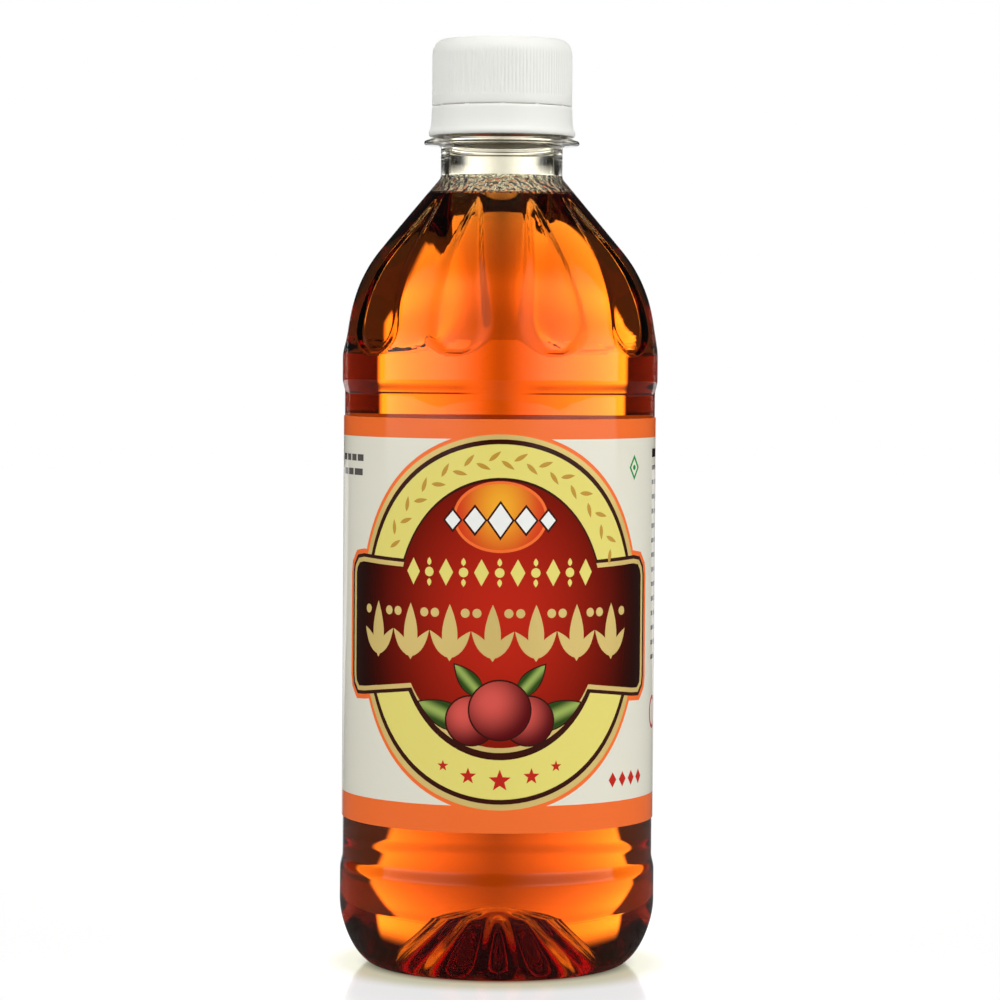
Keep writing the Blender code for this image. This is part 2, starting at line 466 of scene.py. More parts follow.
@dataclass(frozen=True)
class AmberVinegar(Finish):
    """Filtered vinegar: clear liquid whose amber deepens with the depth looked through."""

    name: str = "amber vinegar"
    roughness: float = 0.0
    ior: float = 1.34
    absorbed: str = "FACC00"
    density: float = 96.0
    gleam: float = 0.12

    def make(self) -> bpy.types.Material:
        """Builds the material.

        Returns:
            The material, a clear surface round an absorbing volume.
        """
        material, tree, shader = self.start()
        shader.inputs["Transmission Weight"].default_value = 1.0
        shader.inputs["Specular Tint"].default_value = (self.gleam,) * 3 + (1.0,)
        bulk = add(tree, "ShaderNodeVolumeAbsorption", None,
                   {"Color": linear(self.absorbed), "Density": self.density})
        tree.links.new(bulk.outputs[0], tree.nodes["Material Output"].inputs["Volume"])
        return material


@dataclass(frozen=True)
class MouldedPolypropylene(Finish):
    """Injection-moulded white polypropylene: soft sheen, a little milky as light enters it.

    A mould's real grain is a few hundredths of a millimetre. It is drawn as coarse as it needs
    to show.
    """

    name: str = "moulded white polypropylene"
    colour: str = "F2F2EC"
    roughness: float = 0.38
    grain: float = 0.5
    grain_depth: float = 0.006
    sheen_cloud: float = 6.0
    sheen_change: float = 0.1
    milk: float = 0.15
    milk_depth: float = 1.2

    def make(self) -> bpy.types.Material:
        """Builds the material.

        Returns:
            The material, its gloss slightly uneven and its surface grained.
        """
        material, tree, shader = self.start()
        shader.inputs["Subsurface Weight"].default_value = self.milk
        shader.inputs["Subsurface Radius"].default_value = (1.0, 1.0, 0.9)
        shader.inputs["Subsurface Scale"].default_value = self.milk_depth * MM
        gloss = (self.noise(tree, self.sheen_cloud) * self.sheen_change
                 + (self.roughness - self.sheen_change / 2))
        tree.links.new(gloss.out, shader.inputs["Roughness"])
        self.dent(tree, shader, self.noise(tree, self.grain), self.grain_depth)
        return material


class Tone(Enum):
    """How an ink's colour runs across the motif that it fills."""

    PLAIN = "one tone with the press's faint mottle"
    DEEPENED = "bright in the middle, deep at the ends"
    ROUND = "lit from the upper left and shaded at the rim"
    LEAF = "a pale midrib with darker edges"


@dataclass(frozen=True)
class PrintedFilm(Finish):
    """Gravure ink under glossy polypropylene film: even colour with a faint press mottle.

    A press's real mottle is finer than a tenth of a millimetre. It is drawn as coarse as it
    needs to show. The film's own slight cockle breaks up what it mirrors.
    """

    roughness: float = 0.06
    tone: Tone = Tone.PLAIN
    second: str = "000000"
    mottle: float = 0.06
    mottle_size: float = 0.35
    cockle: float = 14.0
    cockle_depth: float = 0.02
    gleam: str = "FFFFFF"
    glow: float = 0.0

    def share(self, tree: bpy.types.NodeTree) -> Field:
        """Gives the share of the second colour across the motif.

        Args:
            tree: the material's tree.

        Returns:
            0 for the ink's own colour to 1 for the second.
        """
        uv = add(tree, "ShaderNodeUVMap", {"uv_map": "motif"}).outputs[0]
        u, v, _ = fields(tree, uv)
        if self.tone is Tone.DEEPENED:
            return (u * u + v * v * 0.55).math("SQRT").step(0.02, 0.95)
        if self.tone is Tone.ROUND:
            return away(u + 0.28, v - 0.3).step(0.1, 1.35)
        if self.tone is Tone.LEAF:
            return v.math("ABSOLUTE").step(0.0, 0.75)
        return self.noise(tree, self.mottle_size, 3.0) * self.mottle

    def make(self) -> bpy.types.Material:
        """Builds the material.

        Returns:
            The material, its colour running across the motif by its tone.
        """
        material, tree, shader = self.start()
        shader.inputs["Specular Tint"].default_value = linear(self.gleam)
        # a glowing ink gives off painted light in its own colour
        shader.inputs["Emission Color"].default_value = linear(self.colour)
        shader.inputs["Emission Strength"].default_value = self.glow
        colour = add(tree, "ShaderNodeMix", {"data_type": "RGBA"},
                     {"Factor": self.share(tree), "A": linear(self.colour),
                      "B": linear(self.second)})
        tree.links.new(colour.outputs["Result"], shader.inputs["Base Color"])
        self.dent(tree, shader, self.noise(tree, self.cockle, 1.0), self.cockle_depth)
        return material


class Zone(Enum):
    """The zones of the bottle's wall, in the order of its materials."""

    DRY = 0
    WETTED = 1
    WRINKLED = 2
    NECK = 3
    PAINTED_DARK_BASE = 4


WALL: dict[Zone, BlownPet] = {
    Zone.DRY: BlownPet(),
    # a wetted wall mirrors hardly any light, so the amber shows clear and deep
    Zone.WETTED: BlownPet("vinegar-wetted PET", gleam=0.12),
    # the fine wrinkles at the neck's foot scatter light into a pale band
    Zone.WRINKLED: BlownPet("rippled PET", "D0C8A4", ripple=1.0, ripple_depth=0.9),
    # the unstretched neck is thick, which gives it a faint warm tone
    Zone.NECK: BlownPet("unstretched PET", "F8F5E8"),
    # the middle of the base is tinted dark: painted shade for the shadowed floor seen through it
    # under the amber
    Zone.PAINTED_DARK_BASE: BlownPet("base PET painted dark", "403828"),
}


@dataclass
class Flutes:
    """Ten teardrop flutes pressed into the shoulder."""

    count: int = 10
    phase: float = 2.0
    depth: float = 0.72
    low: float = 130.8
    wide: float = 137.0
    top: float = 163.2
    half: float = 13.8
    tip_half: float = 4.5
    taper: float = 1.3
    blunt: float = 8.0
    edge: float = 0.46
    shallow_below: float = 6.0

    def rule(self, finish: bpy.types.Material) -> Rule:
        """Builds the tree that presses the flutes into a skin.

        Args:
            finish: the pressed piece's material.

        Returns:
            The tree, ready to run on the bottle or the vinegar.
        """
        rule = Rule("press flutes", {
            "Count": self.count, "Phase deg": self.phase, "Depth mm": self.depth,
            "Low mm": self.low, "Wide mm": self.wide, "Top mm": self.top,
            "Half deg": self.half, "Tip half deg": self.tip_half, "Edge share": self.edge,
        }, finish)
        x, y, z = rule.place_of_points()
        height = z * PER_M
        wide = rule.value("Wide mm")
        down, up = (share.math("MAXIMUM", 0.0).math("MINIMUM", 1.0) for share in (
            (wide - height) / (wide - rule.value("Low mm")),
            (height - wide) / (rule.value("Top mm") - wide)))
        half = rule.value("Half deg")
        taper = half + (rule.value("Tip half deg") - half) * (up ** self.taper)
        # the foot is round and the head blunt
        foot, head = ((end * -1.0 + 1.0).math("SQRT")
                      for end in (down * down, up ** self.blunt))
        span = (taper * foot * head).math("MAXIMUM", 0.01)
        pitch = Field(rule.tree, add(rule.tree, "ShaderNodeMath", {"operation": "DIVIDE"},
                                     {0: 360.0, 1: rule.value("Count")}).outputs[0])
        turn = rule.angle(x, y) - rule.value("Phase deg")
        # the flutes' centres lie half a pitch off the phase
        off = (turn.math("FLOORED_MODULO", pitch) - pitch * 0.5).math("ABSOLUTE")
        press = ((span - off) / (span * rule.value("Edge share"))).step(0.0, 1.0)
        # a flute grows shallow where it is narrow
        narrow = (span / self.shallow_below).step(0.0, 1.0)
        press = press * narrow * rule.value("Depth mm") * -MM
        rule.push_out(x, y, press)
        return rule


@dataclass
class Bottle:
    """Blown half-litre bottle, its profile and wall.

    A step's two numbers are the height of its foot and how high it is. Rings are heights.
    """

    sides: int = 320
    foot_in: float = 24.4
    foot_out: float = 25.8
    dome_high: float = 12.0
    base_thick: float = 1.0
    base_ribs: int = 10
    base_rib_high: float = 0.9
    heel_top: float = 14.0
    bumper: float = 33.73
    low_rings: tuple[float, ...] = (16.0, 18.5, 20.4)
    low_step: Row = (20.6, 3.2)
    panel: float = 33.2
    panel_rings: tuple[float, ...] = (26.0, 31.0, 50.0, 75.0, 100.0, 118.0, 122.0)
    top_step: Row = (122.2, 3.0)
    top_rings: tuple[float, ...] = (125.6, 127.0, 128.5)
    top_bumper_top: float = 129.5
    wall_thin: float = 0.6
    wall_thick: float = 1.65
    thicker_from: float = 148.0
    cone_low: Row = (25.9, 152.95)
    cone_top: Row = (14.3, 166.7)
    neck: float = 13.0
    neck_low: float = 168.8
    ring: float = 16.6
    ring_top: float = 176.7
    finish_r: float = 12.45
    bore: float = 11.35
    mouth: float = 196.0
    level: float = 164.2
    flutes: Flutes = field(default_factory=Flutes)

    def dome(self, r: float) -> float:
        """Height of the dome's underside at a radius."""
        return self.dome_high * (1.0 - smooth(r / self.foot_in)) ** 0.8

    def heel(self, t: float) -> Row:
        """Point of the round heel, foot to lower bumper."""
        return bezier((self.foot_out, 0.0), (30.0, 0.0), (self.bumper, 8.2),
                      (self.bumper, self.heel_top), t)

    def shoulder(self, t: float) -> Row:
        """Point of the round shoulder, upper bumper to cone."""
        return bezier((self.bumper, self.top_bumper_top), (self.bumper, 139.0), (31.5, 146.3),
                      self.cone_low, t)

    def cone(self, t: float) -> Row:
        """Point of the straight cone between shoulder and neck."""
        (r0, z0), (r1, z1) = self.cone_low, self.cone_top
        return r0 + (r1 - r0) * t, z0 + (z1 - z0) * t

    def neck_foot(self, t: float) -> Row:
        """Point of the tight curve, cone to neck."""
        return bezier(self.cone_top, (13.35, 167.8), (self.neck, 168.1),
                      (self.neck, self.neck_low), t)

    def wall(self, z: float) -> float:
        """Wall thickness at a height."""
        share = smooth((z - self.thicker_from) / (self.neck_low - self.thicker_from))
        return self.wall_thin + (self.wall_thick - self.wall_thin) * share

    def body(self) -> list[Row]:
        """Profile of the outside from the heel's top to the neck's foot.

        Returns:
            Radius and height of each ring, bottom to top.
        """
        deep = self.bumper - self.panel
        (low, low_high), (top, top_high) = self.low_step, self.top_step
        stairs = np.linspace(0.1, 1, 9)
        rows = [(self.bumper, z) for z in (self.heel_top, *self.low_rings)]
        rows += [(self.bumper - deep * smooth(t), low + low_high * t) for t in stairs]
        rows += [(self.panel, z) for z in self.panel_rings]
        rows += [(self.panel + deep * smooth(t), top + top_high * t) for t in stairs]
        rows += [(self.bumper, z) for z in self.top_rings]
        # the rings crowd a little towards the bumper, where the flutes start
        rows += [self.shoulder(t) for t in np.linspace(0.0, 1.0, 52) ** 1.15]
        rows += [self.cone(t) for t in np.linspace(0.06, 1.0, 16)]
        rows += [self.neck_foot(t) for t in (0.25, 0.5, 0.75, 1.0)]
        return rows

    def inside(self, bite: float) -> list[Row]:
        """Profile of the inner wall from the base's middle to the neck's foot.

        Args:
            bite: how far the profile reaches into the wall.

        Returns:
            Radius and height of each ring, bottom to top.
        """
        base = self.base_thick - bite
        rows: list[Row] = [(0.0, self.dome_high + base)]
        rows += [(r, self.dome(r + 0.5) + base + 0.2) for r in np.linspace(2.0, 23.2, 14)]
        rows += [(self.foot_in - 0.3, base + 0.1), (24.7, base), (self.foot_out - 0.6, base)]
        for t in np.linspace(0.08, 0.98, 14):
            r, z = self.heel(t)
            rows.append((r - self.wall_thin + bite - 0.3 * (1 - t), z + base * (1 - t) ** 0.5))
        outside = self.body()
        for i, (r, z) in enumerate(outside):
            t = self.wall(z) - bite
            if z <= self.top_bumper_top:
                rows.append((r - t, z))
                continue
            a, b = outside[i - 1], outside[min(i + 1, len(outside) - 1)]
            size = math.hypot(b[0] - a[0], b[1] - a[1])
            rows.append((r - t * (b[1] - a[1]) / size, z + t * (b[0] - a[0]) / size))
        return rows

    def profile(self) -> list[Row]:
        """Whole closed profile: under the base, up the outside, down the inside.

        Returns:
            Radius and height of each ring.
        """
        dome: list[Row] = [(0.0, self.dome_high)]
        dome += [(r, self.dome(r)) for r in np.linspace(2.0, 23.6, 14)]
        foot = [(24.1, 0.18), (24.45, 0.03), (24.9, 0.0), (25.4, 0.0)]
        heel = [self.heel(t) for t in np.linspace(0.02, 0.98, 20)]
        neck = [(self.neck, 171.5), (self.neck, 174.3), (self.neck + 0.15, 174.8)]
        ring = [
            (13.6, 175.1), (14.8, 175.15), (16.15, 175.15), (16.4, 175.2), (16.55, 175.35),
            (self.ring, 175.6), (16.57, 175.85), (16.4, 176.05), (14.6, self.ring_top),
            (12.9, self.ring_top),
        ]
        mouth = [
            (self.finish_r, 176.9), (self.finish_r, 195.6), (12.15, self.mouth),
            (11.65, self.mouth), (self.bore, 195.6), (self.bore, 185.0), (self.bore, 175.0),
        ]
        return dome + foot + heel + self.body() + neck + ring + mouth + self.inside(0.0)[::-1]

    def build(self) -> bpy.types.Object:
        """Builds the bottle with its flutes and base ribs, each zone in its own finish.

        Returns:
            The finished piece.
        """
        pet, *others = (WALL[zone].make() for zone in Zone)
        start = FRONT + self.flutes.phase
        piece = place("bottle_skin", turned(self.profile(), self.sides, start=start), pet)
        self.flutes.rule(pet).apply(piece)
        self.base_rule(pet).apply(piece)
        for finish in others:
            piece.data.materials.append(finish)
        for face in piece.data.polygons:
            face.material_index = self.zone_of(face).value
        return piece

    def zone_of(self, face: bpy.types.MeshPolygon) -> Zone:
        """Tells which zone of the wall a face is in.

        Args:
            face: a face of the bottle's mesh.

        Returns:
            Its zone.
        """
        base_high, base_wide, foot_high, spare = 14.5, 26.0, 0.9, 0.5
        x, y, z = face.center / MM
        across = math.hypot(x, y)
        inward = face.normal.x * x + face.normal.y * y < 0.0
        over_base = z < base_high and across < base_wide and face.normal.z > 0.0
        if z < self.level and (over_base or (inward and z > foot_high)):
            return Zone.WETTED
        if self.level <= z < self.neck_low and inward:
            return Zone.WRINKLED
        if z >= self.neck_low:
            return Zone.NECK
        # the base's middle takes the PET tinted dark, as painted shade
        if z < self.dome_high + spare and across < self.foot_in:
            return Zone.PAINTED_DARK_BASE
        return Zone.DRY

    def base_rule(self, finish: bpy.types.Material) -> Rule:
        """Builds the tree that presses the radial ribs up into the dome.

        Args:
            finish: the pressed piece's material.

        Returns:
            The tree, ready to run on the bottle or the vinegar.
        """
        rule = Rule("press base ribs", {
            "Count": self.base_ribs, "Height mm": self.base_rib_high,
            "Outer mm": self.foot_in, "Phase deg": self.flutes.phase,
        }, finish)
        x, y, z = rule.place_of_points()
        across = away(x, y) * PER_M
        # the ribs run out at the dome's middle and at the foot, and leave the wall alone
        fade = across.step(4.0, 9.0) * across.step(rule.value("Outer mm"), 21.4)
        fade = fade * (z * PER_M).step(16.0, 15.0)
        turn = (rule.angle(x, y) - rule.value("Phase deg")) * rule.value("Count")
        wave = turn.cosine() * 0.5 + 0.5
        rule.push(0.0, 0.0, fade * wave * rule.value("Height mm") * MM)
        return rule


@dataclass
class Vinegar:
    """Vinegar up to its level, just biting into the wall so that no air gap shows.

    Each row of the meniscus is the distance in from the wall and the share of the climb.
    """

    bottle: Bottle
    bite: float = 0.25
    climb: float = 0.3
    meniscus: tuple[Row, ...] = ((0.0, 1.0), (0.35, 0.75), (0.8, 0.33), (1.5, 0.1), (2.6, 0.0))

    def profile(self) -> list[Row]:
        """Profile of the liquid, with the meniscus climbing the wall.

        Returns:
            Radius and height of each ring, bottom to top.
        """
        level, spare = self.bottle.level, 0.2
        rows = [row for row in self.bottle.inside(self.bite) if row[1] < level - spare]
        (r0, z0), (r1, z1) = self.bottle.cone_low, self.bottle.cone_top
        slope = (r1 - r0) / (z1 - z0)
        edge = rows[-1][0] + slope * (level + self.climb - rows[-1][1])
        rows += [(edge - inward, level + self.climb * share) for inward, share in self.meniscus]
        return rows + [(edge * 0.5, level), (0.0, level)]

    def build(self, finish: bpy.types.Material) -> bpy.types.Object:
        """Builds the liquid with the same flutes and ribs as its wall.

        Args:
            finish: the vinegar.

        Returns:
            The finished piece.
        """
        start = FRONT + self.bottle.flutes.phase
        piece = place("vinegar_fill", turned(self.profile(), self.bottle.sides, start=start),
                      finish, sharp=60.0)
        self.bottle.flutes.rule(finish).apply(piece)
        self.bottle.base_rule(finish).apply(piece)
        return piece


@dataclass
class Cap:
    """White screw cap with fine ribs, a plain collar and a rounded top edge.

    The ribs of the real cap are finer than can be counted. They are drawn as coarse as they
    need to show.
    """

    radius: float = 14.95
    inner: float = 13.55
    low: float = 183.38
    top: float = 197.7
    thick: float = 1.4
    round_low: float = 194.2
    flat: float = 12.5
    crown: float = 0.1
    skirt_rings: tuple[float, ...] = (184.4, 185.1, 185.25, 185.4, 185.6, 185.9, 188.0, 190.0,
                                      192.0, 193.4)
    edge_degrees: tuple[float, ...] = (0, 6, 12, 20, 30, 40, 50, 60, 70, 80)
    ribs: int = 120
    rib_sides: int = 8
    rib_deep: float = 0.11
    rib_low: float = 185.2
    rib_high: float = 194.6

    def profile(self) -> list[Row]:
        """Profile from the inside's middle round the rim to the top's middle.

        Returns:
            Radius and height of each ring.
        """
        ceiling, shelf = self.top - self.thick, self.top - self.crown
        rows: list[Row] = [(0.0, ceiling), (12.6, ceiling), (self.inner, ceiling - 1.0),
                           (self.inner, self.low + 0.2), (self.inner + 0.2, self.low)]
        rows += [(self.radius - 0.25, self.low), (self.radius - 0.08, self.low + 0.08),
                 (self.radius, self.low + 0.3)]
        rows += [(self.radius, z) for z in self.skirt_rings]
        for a in map(math.radians, self.edge_degrees):
            rows.append((self.flat + (self.radius - self.flat) * math.cos(a),
                         self.round_low + (shelf - self.round_low) * math.sin(a)))
        return rows + [(self.flat, shelf), (9.0, self.top - 0.03), (0.0, self.top)]

    def rule(self, finish: bpy.types.Material) -> Rule:
        """Builds the tree that cuts the grip ribs into the skirt.

        Args:
            finish: the cap's material.

        Returns:
            The tree.
        """
        rule = Rule("cut grip ribs", {
            "Count": self.ribs, "Depth mm": self.rib_deep, "Low mm": self.rib_low,
            "High mm": self.rib_high, "Skin mm": self.radius,
        }, finish)
        x, y, z = rule.place_of_points()
        height, across = z * PER_M, away(x, y) * PER_M
        low, high, skin = (rule.value(key) for key in ("Low mm", "High mm", "Skin mm"))
        # the ribs run out at both ends, and the cap's inside stays round
        fade = height.step(low, low + 0.7) * height.step(high + 1.6, high - 1.2)
        fade = fade * across.step(skin - 1.2, skin)
        wave = (rule.angle(x, y) * rule.value("Count")).cosine()
        cut = (wave * -0.5 + 0.5) ** 2.0 * fade * rule.value("Depth mm") * -MM
        rule.push_out(x, y, cut)
        return rule

    def build(self, finish: bpy.types.Material) -> bpy.types.Object:
        """Builds the cap.

        Args:
            finish: the white polypropylene.

        Returns:
            The finished piece.
        """
        piece = place("ribbed_cap", turned(self.profile()[::-1], self.ribs * self.rib_sides),
                      finish, sharp=50.0)
        self.rule(finish).apply(piece)
        return piece


@dataclass
class TamperBand:
    """Band below the slit, held to the cap by thin bridges until it is opened."""

    low: float = 177.05
    top: float = 183.27
    sides: int = 240
    bridges: int = 12
    bridge_radius: float = 14.5
    bridge_up: float = 0.15
    bridge_deep: float = 0.7
    bridge_wide: float = 0.9
    bridge_high: float = 0.6

    def profile(self) -> list[Row]:
        """Closed profile of the flared band.

        Returns:
            Radius and height of each ring, from the top down the outside and back.
        """
        return [
            (13.65, self.top - 0.1), (13.75, self.top), (14.8, self.top), (14.95, self.top - 0.15),
            (14.99, 182.6), (15.0, 182.0), (15.07, 180.6), (15.15, 179.5), (15.25, 178.9),
            (15.42, 178.4), (15.6, 178.05), (15.67, 177.7), (15.62, 177.3), (15.45, self.low),
            (14.2, self.low), (14.0, 177.2), (13.65, 178.4),
        ]

    def build(self, finish: bpy.types.Material) -> bpy.types.Object:
        """Builds the band.

        Args:
            finish: the white polypropylene.

        Returns:
            The finished piece.
        """
        return place("flared_band", turned(self.profile()[::-1], self.sides, looped=True),
                     finish, sharp=50.0)

    def build_bridges(self, finish: bpy.types.Material) -> bpy.types.Object:
        """Sets the bridges across the slit with a tree of instances.

        Args:
            finish: the white polypropylene.

        Returns:
            The finished piece.
        """
        rule = Rule("set bridges", {
            "Count": self.bridges, "Radius m": self.bridge_radius * MM,
            "Height m": (self.top + self.bridge_up) * MM, "Width m": self.bridge_wide * MM,
        }, finish)
        ring = add(rule.tree, "GeometryNodeMeshCircle", {"fill_type": "NONE"},
                   {"Vertices": rule.value("Count"), "Radius": rule.value("Radius m")})
        size = add(rule.tree, "ShaderNodeCombineXYZ", None,
                   {0: self.bridge_deep * MM, 1: rule.value("Width m"),
                    2: self.bridge_high * MM})
        tab = add(rule.tree, "GeometryNodeMeshCube", None, {"Size": size.outputs[0]})
        x, y, _ = rule.place_of_points()
        turn = add(rule.tree, "ShaderNodeCombineXYZ", None, {2: y.math("ARCTAN2", x)})
        tabs = add(rule.tree, "GeometryNodeInstanceOnPoints", None,
                   {"Points": ring.outputs[0], "Instance": tab.outputs[0],
                    "Rotation": turn.outputs[0]})
        lift = add(rule.tree, "ShaderNodeCombineXYZ", None, {2: rule.value("Height m")})
        raised = add(rule.tree, "GeometryNodeTransform", None,
                     {"Geometry": tabs.outputs[0], "Translation": lift.outputs[0]})
        rule.skin = raised.outputs[0]
        seed = bpy.data.meshes.new("seed")
        seed.from_pydata([(0, 0, 0)], [], [])
        piece = place("slit_bridges", seed, finish)
        rule.apply(piece)
        return piece


class Ink(Enum):
    """The inks of the label's print, from the white of the film up."""

    WHITE = 0  # the ground, a warm white
    ORANGE = 1  # the borders, and the outermost line round the middle
    PALE_YELLOW = 2  # the oval ring and the plain motifs
    GOLD = 3  # lines and leaves that catch a little light
    DARK = 4  # outlines that set each field off from the next
    MAROON = 5  # the banner, red in the middle and nearly black at its ends
    RED = 6  # stars and small lozenges
    LEAF = 7  # leaves with a pale midrib
    FRUIT = 8  # round fruits with a lit side and a dark rim
    GREY = 9  # rows of plain bars, dark grey and not black
    BRONZE = 10  # sprigs, a little darker than the ring that they lie on
    SUNSET = 11  # the badge, yellow in the middle and red at its rim
    GREEN = 12  # one small mark
    CLEAR_WHITE = 13  # lozenges that stand out colder than the ground
    UNDERSIDE = 14  # the side that faces the bottle


INKS: dict[Ink, PrintedFilm] = {
    Ink.WHITE: PrintedFilm("film white", "EEEBDA", second="E2DECC"),
    Ink.ORANGE: PrintedFilm("orange ink", "FF7634", second="F66A2A"),
    Ink.PALE_YELLOW: PrintedFilm("pale yellow ink", "EFE27A", second="E4D468"),
    Ink.GOLD: PrintedFilm("gold ink", "FFE08A", second="F0C860", metallic=0.35, roughness=0.2),
    Ink.DARK: PrintedFilm("dark brown ink", "3A1206", second="2A0A02"),
    Ink.MAROON: PrintedFilm("maroon ink", "C42A1A", second="1E0401", tone=Tone.DEEPENED,
                            gleam="FF8A6C"),
    Ink.RED: PrintedFilm("red ink", "C8281C", second="B82016"),
    Ink.LEAF: PrintedFilm("leaf green ink", "9DB45A", second="2C4A14", tone=Tone.LEAF),
    Ink.FRUIT: PrintedFilm("fruit red ink", "E05A50", second="5A060C", tone=Tone.ROUND),
    Ink.GREY: PrintedFilm("grey ink", "5A5652", second="6A6660"),
    Ink.BRONZE: PrintedFilm("bronze ink", "C99A3C", second="B5852C"),
    Ink.SUNSET: PrintedFilm("sunset ink", "FFB22E", second="E0401C", tone=Tone.DEEPENED),
    Ink.GREEN: PrintedFilm("green ink", "2E9A4A", second="248A40"),
    Ink.CLEAR_WHITE: PrintedFilm("bright white ink", "FAFAF6", second="F0F0EA"),
    # the film's underside glows in its own colour: painted light that stands in for the light
    # reaching it through the clear walls
    Ink.UNDERSIDE: PrintedFilm("film underside painted glow", "F4EFE4", second="E8E2D4", glow=0.35),
}


@dataclass
class Shape:
    """One flat field of ink: its outline and its own centre and reach for the ink's tone."""

    ink: Ink
    outline: np.ndarray
    centre: Row = (0.0, 0.0)
    reach: Row = (1.0, 1.0)
    turn: float = 0.0

    def holds(self, points: np.ndarray) -> np.ndarray:
        """Tests which points lie inside the outline.

        Args:
            points: s and z of each point.

        Returns:
            True for each point inside.
        """
        inside = np.zeros(len(points), bool)
        low, high = self.outline.min(0), self.outline.max(0)
        near = np.nonzero(((points >= low) & (points <= high)).all(1))[0]
        px, pz = points[near, 0], points[near, 1]
        hit = np.zeros(len(near), bool)
        for (x0, z0), (x1, z1) in zip(self.outline, np.roll(self.outline, -1, 0)):
            if z0 == z1:
                continue
            crosses = (z0 > pz) != (z1 > pz)
            hit ^= crosses & (px < x0 + (pz - z0) * (x1 - x0) / (z1 - z0))
        inside[near] = hit
        return inside

    def local(self, points: np.ndarray) -> np.ndarray:
        """Gives points in the motif's own frame.

        Args:
            points: s and z of each point.

        Returns:
            The same points, -1 to 1 across the motif.
        """
        d = points - np.array(self.centre)
        c, s = math.cos(self.turn), math.sin(self.turn)
        return np.stack([(d[:, 0] * c + d[:, 1] * s) / self.reach[0],
                         (d[:, 1] * c - d[:, 0] * s) / self.reach[1]], 1)


def oval(s: float, z: float, rs: float, rz: float, count: int = 64) -> np.ndarray:
    """Outline of an oval.

    Args:
        s: the centre's place along the label.
        z: the centre's height.
        rs: its half width.
        rz: its half height.
        count: how many points it has.

    Returns:
        Its points.
    """
    phase = 0.37  # no point lies straight above or beside the centre, where other lines run
    t = (np.arange(count) + phase) * 2 * np.pi / count
    return np.stack([s + rs * np.cos(t), z + rz * np.sin(t)], 1)


def blade(s: float, z: float, length: float, width: float, turn: float,
          count: int = 9) -> np.ndarray:
    """Outline of a pointed leaf that grows from its foot.

    Args:
        s: the foot's place along the label.
        z: the foot's height.
        length: foot to tip.
        width: across its widest part.
        turn: its direction in degrees, 0 to the right.
        count: points on each side.

    Returns:
        Its points.
    """
    t = np.linspace(0.0, 1.0, count)
    lean, full = 0.85, 0.9  # widest a little below the middle, and how full the sides are
    half = width / 2 * np.sin(np.pi * t ** lean) ** full
    along = np.concatenate([t, t[-2:0:-1]]) * length
    across = np.concatenate([half, -half[-2:0:-1]])
    a = math.radians(turn)
    return np.stack([s + along * math.cos(a) - across * math.sin(a),
                     z + along * math.sin(a) + across * math.cos(a)], 1)


def star(s: float, z: float, reach: float) -> np.ndarray:
    """Outline of a five-pointed star with a point up.

    Args:
        s: the centre's place along the label.
        z: the centre's height.
        reach: centre to point.

    Returns:
        Its points.
    """
    waist = 0.42
    a = np.pi / 2 + np.arange(10) * np.pi / 5
    r = np.where(np.arange(10) % 2 == 0, reach, reach * waist)
    return np.stack([s + r * np.cos(a), z + r * np.sin(a)], 1)


def lozenge(s: float, z: float, rs: float, rz: float) -> np.ndarray:
    """Outline of a lozenge."""
    return np.array([(s - rs, z), (s, z - rz), (s + rs, z), (s, z + rz)])


def bar(s0: float, s1: float, z0: float, z1: float) -> np.ndarray:
    """Outline of an upright rectangle."""
    return np.array([(s0, z0), (s1, z0), (s1, z1), (s0, z1)])


def grown(outline: np.ndarray, by: float) -> np.ndarray:
    """Moves an anticlockwise outline outwards.

    Args:
        outline: its points.
        by: how far.

    Returns:
        The grown outline.
    """
    ahead = np.roll(outline, -1, 0) - outline
    ahead /= np.linalg.norm(ahead, axis=1)[:, None]
    normal = np.stack([ahead[:, 1], -ahead[:, 0]], 1)
    both = normal + np.roll(normal, 1, 0)
    sharpest = 0.35  # a sharper corner is cut short
    both /= np.maximum((both ** 2).sum(1) / 2.0, sharpest)[:, None]
    return outline + both * by


